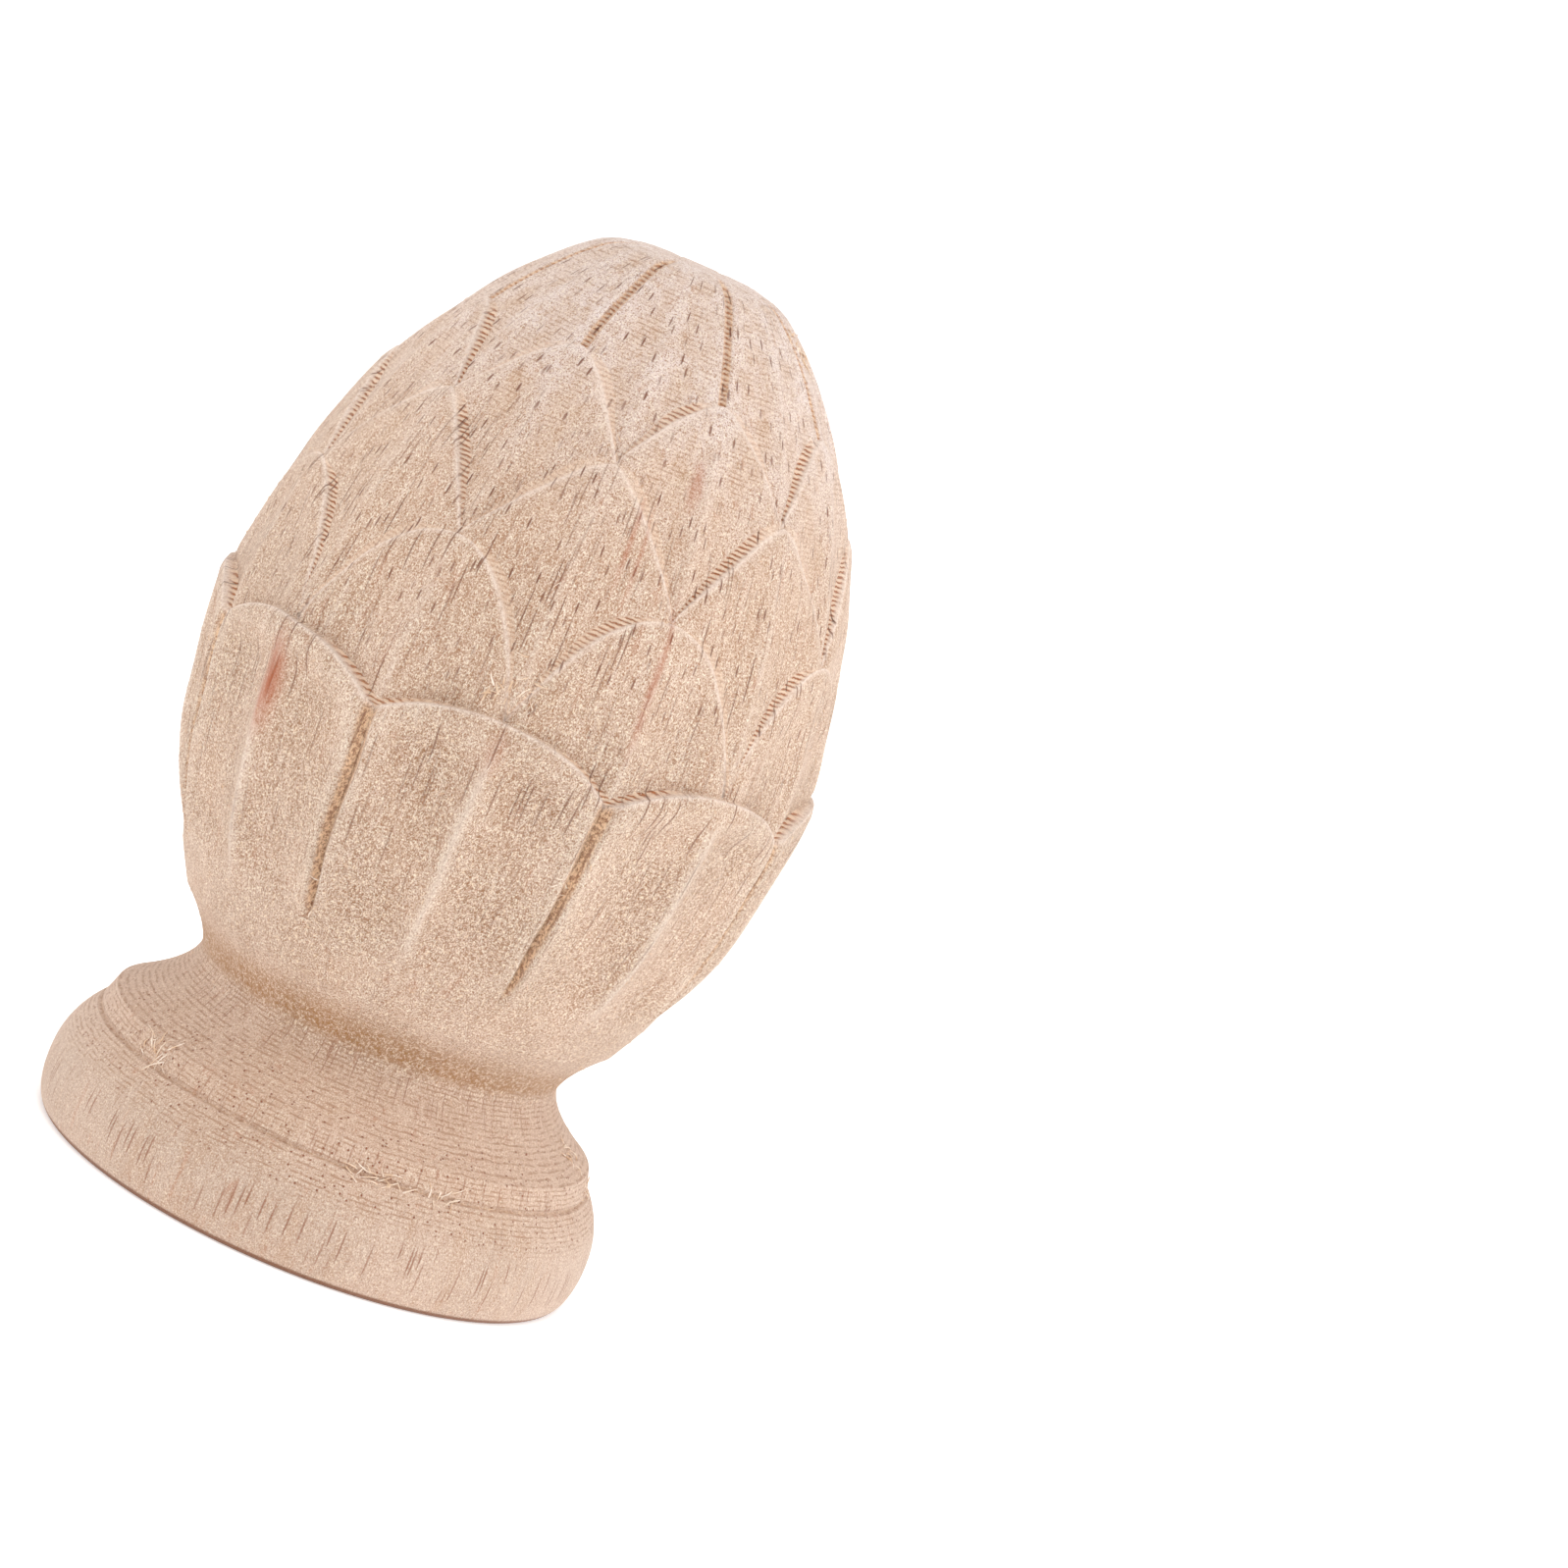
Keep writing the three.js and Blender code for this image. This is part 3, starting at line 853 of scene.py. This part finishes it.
def wood_base(nodes, grain):
    """Cream to tan, paler and pinker towards the top, partly the wood's tone and partly painted light from
    above, with clouds and long soft streaks.
    """
    colour = nodes.tint(nodes.ramp(grain.level, *TOP_WOOD_AND_LIGHT_IN), LOWER_WOOD, TOP_WOOD_AND_LIGHT)
    colour = nodes.tint(nodes.ramp(grain.level, *FOOT_WOOD_IN, 0.0, 0.7), colour, FOOT_WOOD)
    clouds = nodes.noise(grain.place, (0.09, 0.09, 0.035), 3)
    colour = nodes.tint(nodes.ramp(clouds, 0.35, 0.65, 0.0, 0.45), colour, CLOUD)
    streaks = nodes.noise(grain.place, (0.45, 0.45, 0.03), 3, 0.6)
    colour = nodes.tint(nodes.ramp(streaks, 0.48, 0.7, 0.0, 0.5), colour, STREAK)
    red = nodes.noise(grain.place, (1.1, 1.1, 0.045), 2, 0.6)
    colour = nodes.tint(nodes.ramp(red, 0.61, 0.72, 0.0, 0.55), colour, RED_STREAK)
    zone = nodes.product(nodes.ramp(grain.level, *STRIPES_IN, 0.25, 1.0), 0.6)
    colour = nodes.tint(nodes.product(nodes.ramp(grain.stripes, 0.52, 0.68), zone), colour, DARK_STRIPE)
    return nodes.tint(nodes.product(nodes.ramp(grain.stripes, 0.46, 0.32), zone), colour, LIGHT_STRIPE)


def coarse_share(nodes, grain):
    """Where the torn grain stands up coarse and curly: in patches on the lower scales and neck."""
    patches = nodes.ramp(nodes.noise(grain.place, (0.16, 0.16, 0.1), 2), 0.36, 0.62, 0.45, 1.0)
    low_zone = nodes.ramp(grain.level, *COARSE_OUT, 0.35, 1.0)
    turned = nodes.ramp(grain.level, *COARSE_IN, 0.35, 1.0)
    return nodes.product(patches, low_zone, turned)


def wood_fuzz(nodes, grain, colour, coarse, hollow, rib):
    """Raised torn grain: coarse in its places, its pits darker in the hollows as painted shade, paler on
    margins as smoother wood and painted light, a fine mottle everywhere, and paler midrib crests with a
    painted highlight.
    """
    # Painted shade: the coarse pits darken more in the hollows
    hollow_shade = nodes.ramp(hollow, 0.0, 0.9, 0.4, 1.0)
    dark = nodes.product(nodes.ramp(grain.fuzz, 0.50, 0.37), coarse, hollow_shade, 0.95)
    colour = nodes.tint(dark, colour, COARSE_PIT)
    light = nodes.product(nodes.ramp(grain.fuzz, 0.53, 0.65), coarse, 0.9)
    colour = nodes.tint(light, colour, COARSE_TIP)
    fluted = nodes.zone(grain.level, *FLUTED_ZONE)
    smooth = nodes.ramp(grain.fuzz, 0.35, 0.55, 0.5, 1.0)
    # Raised margins paler: smoother wood, and painted light
    margin = nodes.product(nodes.ramp(hollow, 0.4, 0.05), fluted, smooth, 0.5)
    colour = nodes.tint(margin, colour, SMOOTH_LIT_MARGIN)
    mottle = nodes.ramp(grain.level, *MOTTLE_IN, 0.6, 1.0)
    pits = nodes.product(nodes.ramp(grain.fine, 0.49, 0.34, 0.0, 0.95), mottle)
    tips = nodes.product(nodes.ramp(grain.fine, 0.53, 0.66, 0.0, 0.95), mottle)
    colour = nodes.tint(tips, nodes.tint(pits, colour, FINE_PIT), FINE_TIP)
    around_neck = nodes.zone(grain.level, *NECK_ZONE)
    neck = nodes.product(around_neck, nodes.ramp(grain.fuzz, 0.58, 0.42, 0.2, 1.0), 0.95)
    colour = nodes.tint(neck, colour, NECK_TAN)
    # Midrib crests paler: less fuzz, and a painted highlight
    return nodes.tint(nodes.product(rib, 0.35), colour, RIB_PALE_AND_HIGHLIGHT)


def wood_rings(nodes, grain, colour, hollow):
    """Thin darker lines of the cutter, broken here and there, clearest in the hollows."""
    broken = nodes.ramp(nodes.noise(grain.place, (0.9, 0.9, 1.1), 3, 0.7), 0.4, 0.58, 0.05, 1.0)
    columns = nodes.ramp(nodes.noise(grain.place, (0.4, 0.4, 0.05), 2), 0.4, 0.6, 0.3, 1.0)
    crown = nodes.product(grain.crown_zone, columns, nodes.ramp(hollow, 0.1, 0.5, 0.35, 1.0))
    colour = nodes.tint(nodes.product(crown, 0.35), colour, CROWN_TAN)
    zone = nodes.calc("MAXIMUM", nodes.calc("ADD", grain.foot_zone, crown), 0.12)
    return nodes.tint(nodes.product(grain.ring_line, zone, broken, 0.7), colour, RING_BROWN)


def wood_cuts(nodes, grain, colour, marks):
    """Walls and grooves, browner where the cutter crossed the grain and where painted shade falls on walls,
    with tooth strokes and a painted highlight along the lips.
    """
    # Wall colour: brown tooth strokes on cream, strongest where the mark adds painted shade
    wall = nodes.tint(nodes.product(grain.tooth, marks["teeth"], 0.95), WALL_CREAM, WALL_BROWN)
    wall_share = nodes.product(marks["wall"], nodes.ramp(grain.fuzz, 0.28, 0.55, 0.55, 1.0))
    colour = nodes.tint(wall_share, colour, wall)
    rough = nodes.tint(nodes.ramp(grain.fuzz, 0.40, 0.58), ROUGH_BROWN, ROUGH_CREAM)
    toothed = nodes.tint(grain.tooth, GROOVE_CREAM, GROOVE_BROWN)
    groove = nodes.tint(marks["teeth"], rough, toothed)
    groove_share = nodes.ramp(marks["groove"], 0.1, 0.5)
    groove_share = nodes.product(groove_share, nodes.ramp(grain.fuzz, 0.3, 0.52, 0.45, 0.95))
    colour = nodes.tint(groove_share, colour, groove)
    # Painted highlight along each lip, broken by the fuzz
    lip_highlight_share = nodes.product(marks["lip"], nodes.ramp(grain.fuzz, 0.38, 0.58, 0.3, 0.9))
    return nodes.tint(lip_highlight_share, colour, LIP_HIGHLIGHT_CREAM)


def pore_marks(nodes, grain):
    """Short pores on the upper scales, and shorter ones laid closer on the top."""
    level = grain.level
    pores = vessel_marks(nodes, grain.body_skin, *PORES)
    pores = nodes.product(pores, nodes.ramp(level, *PORES_IN, 0.2, 1.0), nodes.ramp(level, *PORES_OUT))
    crown = vessel_marks(nodes, grain.crown_skin, *CROWN_PORES)
    crown = nodes.product(crown, nodes.zone(level, *CROWN_PORES_ZONE))
    return nodes.calc("MAXIMUM", pores, crown)


def long_vessel_marks(nodes, grain):
    """Long thin lines round the middle of the egg."""
    lines = vessel_marks(nodes, grain.body_skin, *LONG_VESSELS)
    coming = nodes.ramp(grain.level, *LONG_VESSELS_IN, 0.25, 1.0)
    going = nodes.ramp(grain.level, *LONG_VESSELS_OUT)
    return nodes.product(lines, coming, going, 0.8)


def stroke_marks(nodes, grain):
    """Strokes on the roll, the band and below the neck, with dots on the cove between them."""
    level = grain.level
    strokes = vessel_marks(nodes, grain.body_skin, *STROKES)
    on_roll, on_band = nodes.zone(level, *ROLL_STROKES), nodes.zone(level, *BAND_STROKES)
    on_neck = nodes.product(nodes.zone(level, *NECK_STROKES), 0.5)
    strokes = nodes.product(strokes, nodes.calc("ADD", nodes.calc("ADD", on_roll, on_band), on_neck))
    distance = nodes.cells(grain.place, (1.3, 1.3, 1.3))[0]
    dots = nodes.product(nodes.ramp(distance, 0.2, 0.1), nodes.zone(level, *COVE_DOTS))
    return nodes.calc("MAXIMUM", strokes, dots)


def wood_relief(nodes, grain, coarse, marks, vessels):
    """Bump of the torn grain, the tool rings, deeper where the toothed and painted-shade mark lies, and the
    opened vessels.
    """
    raised = nodes.product(grain.fuzz, nodes.ramp(coarse, 0.0, 1.0, 0.3, 1.3))
    normal = nodes.bump(nodes.calc("ADD", raised, nodes.product(grain.fine, 0.5)), GRAIN_BUMP * MM)
    ring_share = nodes.product(grain.crown_zone, 0.6)
    ring_share = nodes.calc("ADD", ring_share, nodes.product(marks["teeth"], 5.0))
    normal = nodes.bump(nodes.product(grain.ring, ring_share), -RING_BUMP * MM, normal)
    return nodes.bump(vessels, -VESSEL_BUMP * MM, normal)


def wood_material():
    """Pale bare hardwood, cut across by a rotary cutter: grain, vessels, tool rings and fuzz."""
    material = bpy.data.materials.new("bare_wood")
    nodes = Nodes(material)
    grain = Grain(nodes)
    marks = {name: nodes.mark(name) for name in SurfaceRows.MARKS}
    coarse = coarse_share(nodes, grain)
    colour = wood_base(nodes, grain)
    colour = wood_fuzz(nodes, grain, colour, coarse, marks["hollow"], marks["rib"])
    colour = wood_rings(nodes, grain, colour, marks["hollow"])
    colour = wood_cuts(nodes, grain, colour, marks)
    pores, lines = pore_marks(nodes, grain), long_vessel_marks(nodes, grain)
    strokes = stroke_marks(nodes, grain)
    colour = nodes.tint(nodes.product(pores, 0.9), colour, PORE)
    colour = nodes.tint(nodes.product(lines, 0.95), colour, LONG_VESSEL)
    colour = nodes.tint(nodes.product(strokes, 0.95), colour, STROKE)
    flecks = fleck_marks(nodes, grain.body_skin)
    flecks = nodes.product(flecks, nodes.ramp(grain.stripes, 0.35, 0.6, 0.6, 0.9))
    colour = nodes.tint(flecks, colour, FLECK_RED)
    colour = nodes.tint(nodes.ramp(grain.level, *EDGE_IN, 0.0, 0.9), colour, EDGE_BROWN)
    vessels = nodes.calc("MAXIMUM", nodes.calc("MAXIMUM", pores, lines), strokes)
    nodes.feed(nodes.shader.inputs["Base Color"], colour)
    nodes.feed(nodes.shader.inputs["Normal"], wood_relief(nodes, grain, coarse, marks, vessels))
    nodes.feed(nodes.shader.inputs["Roughness"], nodes.ramp(grain.fuzz, 0.3, 0.7, 0.74, 0.92))
    nodes.shader.inputs["Specular IOR Level"].default_value = 0.25
    nodes.shader.inputs["Sheen Weight"].default_value = 0.25
    nodes.shader.inputs["Sheen Roughness"].default_value = 0.5
    nodes.shader.inputs["Sheen Tint"].default_value = SHEEN_WHITE
    return material


def fibre_material():
    """Torn wood fibres: paler than the wood, with a brown tinge at random."""
    material = bpy.data.materials.new("torn_fibre")
    nodes = Nodes(material)
    tone = nodes.ramp(nodes.noise(nodes.millimetres(), (0.8, 0.8, 0.8), 2), 0.35, 0.65)
    colour = nodes.tint(tone, FIBRE_TAN, FIBRE_CREAM)
    nodes.feed(nodes.shader.inputs["Base Color"], colour)
    nodes.shader.inputs["Roughness"].default_value = 0.8
    nodes.shader.inputs["Sheen Weight"].default_value = 0.2
    return material


# Studio floor and the wall it curves up into, in metres
FLOOR_NEAR = -4.0
FLOOR_FAR = 1.4
FLOOR_BEND = 0.6
FLOOR_HALF_WIDTH = 4.5
WALL_HEIGHT = 1.6


def floor_material():
    """Matt white studio floor, a little brighter than the light that falls on it."""
    material = bpy.data.materials.new("studio_floor")
    nodes = Nodes(material)
    tone = nodes.noise(nodes.millimetres(), (0.003, 0.003, 0.003), 2)
    colour = nodes.tint(tone, FLOOR_DULL, FLOOR_BRIGHT)
    nodes.feed(nodes.shader.inputs["Base Color"], colour)
    nodes.shader.inputs["Roughness"].default_value = 0.95
    nodes.shader.inputs["Emission Color"].default_value = (1, 1, 1, 1)
    nodes.shader.inputs["Emission Strength"].default_value = 0.4
    return material


def make_floor():
    """A pale sweep: flat floor that curves up into a wall far behind."""
    start = FLOOR_FAR - FLOOR_BEND
    section = [(FLOOR_NEAR, 0.0), (start, 0.0)]
    for turn in np.linspace(0, math.pi / 2, 16)[1:]:
        section.append((start + FLOOR_BEND * math.sin(turn), FLOOR_BEND - FLOOR_BEND * math.cos(turn)))
    section.append((FLOOR_FAR, WALL_HEIGHT))
    verts = [(side * FLOOR_HALF_WIDTH, y, z) for y, z in section for side in (-1, 1)]
    faces = [(2 * i, 2 * i + 1, 2 * i + 3, 2 * i + 2) for i in range(len(section) - 1)]
    mesh = bpy.data.meshes.new("studio_floor")
    mesh.from_pydata(verts, [], faces)
    mesh.materials.append(floor_material())
    mesh.polygons.foreach_set("use_smooth", [True] * len(mesh.polygons))
    floor = bpy.data.objects.new("studio_floor", mesh)
    bpy.context.scene.collection.objects.link(floor)


# Camera, placed and turned as in the photograph
CAMERA_DISTANCE = 445.25
CAMERA_HEIGHT = 125.21
CAMERA_YAW = math.radians(3.715)
CAMERA_PITCH = math.radians(8.348)
CAMERA_ROLL = math.radians(23.671)
CAMERA_LENS = 100.43


def make_camera():
    """The camera looks along the floor, tipped down and rolled, so that the finial leans in the frame."""
    ahead = Vector((math.sin(CAMERA_YAW), math.cos(CAMERA_YAW), 0))
    right = Vector((math.cos(CAMERA_YAW), -math.sin(CAMERA_YAW), 0))
    forward = ahead * math.cos(CAMERA_PITCH) - Vector((0, 0, math.sin(CAMERA_PITCH)))
    upward = ahead * math.sin(CAMERA_PITCH) + Vector((0, 0, math.cos(CAMERA_PITCH)))
    side = right * math.cos(CAMERA_ROLL) + upward * math.sin(CAMERA_ROLL)
    top = upward * math.cos(CAMERA_ROLL) - right * math.sin(CAMERA_ROLL)
    turn = Matrix((side, top, -forward)).transposed().to_4x4()
    data = bpy.data.cameras.new("camera")
    data.lens = CAMERA_LENS
    camera = bpy.data.objects.new("camera", data)
    camera.matrix_world = Matrix.Translation((0, -CAMERA_DISTANCE * MM, CAMERA_HEIGHT * MM)) @ turn
    bpy.context.scene.collection.objects.link(camera)
    bpy.context.scene.camera = camera


# Strength of the white surroundings, and each softbox's place and size in metres and its power
SURROUND_STRENGTH = 0.58
SOFTBOXES = (
    ("right_softbox", (0.68, -0.12, 0.42), 0.4, 2.0),
    ("left_softbox", (-0.68, -0.05, 0.36), 0.4, 1.1),
    ("top_softbox", (0.05, -0.45, 0.95), 0.5, 2.8),
)


def add_softbox(name, place, size, power):
    """A soft square light, aimed at the middle of the finial."""
    data = bpy.data.lights.new(name, "AREA")
    data.energy = power
    data.size = size
    light = bpy.data.objects.new(name, data)
    light.location = place
    aim = Vector((0, 0, HEIGHT / 2 * MM)) - light.location
    light.rotation_euler = aim.to_track_quat("-Z", "Y").to_euler()
    bpy.context.scene.collection.objects.link(light)


def make_lights():
    """Even white surroundings with softboxes to the right, to the left and above the camera."""
    world = bpy.data.worlds.new("studio")
    world.use_nodes = True
    backdrop = world.node_tree.nodes["Background"]
    backdrop.inputs["Color"].default_value = (1, 1, 1, 1)
    backdrop.inputs["Strength"].default_value = SURROUND_STRENGTH
    bpy.context.scene.world = world
    for softbox in SOFTBOXES:
        add_softbox(*softbox)


bpy.context.scene.view_settings.view_transform = "Standard"
make_camera()
make_lights()
make_floor()
angles, share, rising = wood_columns()
rows, seams = surface_rows(angles, share, rising)
points = surface_points(np.array(rows.levels), np.array(rows.depths), angles)
pieces = make_wood(rows, seams, points, wood_material())
for piece in pieces:
    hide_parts(NODE)
pieces.append(make_fibres(angles, rows, points, fibre_material()))
for piece in pieces:
    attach(piece, "root")
